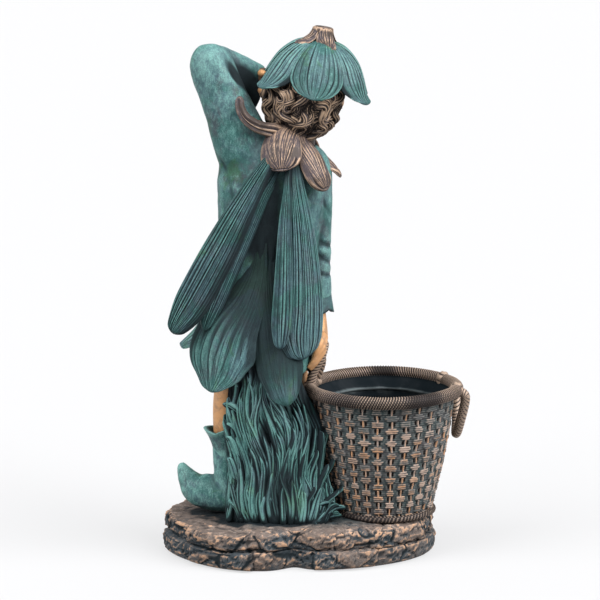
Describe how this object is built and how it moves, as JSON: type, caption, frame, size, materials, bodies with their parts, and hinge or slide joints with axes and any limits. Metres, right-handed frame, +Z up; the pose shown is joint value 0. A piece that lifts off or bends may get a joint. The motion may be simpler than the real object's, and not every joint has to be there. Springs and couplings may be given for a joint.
{
  "type": "fairy statue planter",
  "caption": "Cast garden figure of a winged fairy in a petal hat, one arm raised, holding an open woven basket for a plant on a rock base.",
  "frame": {"origin": "on the flat underside of the rock base, under the figure's middle", "axes": "+Z up from the underside to the tip of the hat; -Y the way the figure's front faces, +Y its back with the wings; +X the figure's left, with the raised arm; the basket is at -X"},
  "size_m": [0.2924, 0.2, 0.5014],
  "materials": {
    "patinated_resin": "cast resin with a blue-green and bronze patina, dry-brushed"
  },
  "bodies": {
    "root": {"fairy_planter": "patinated_resin"}
  },
  "joints": []
}
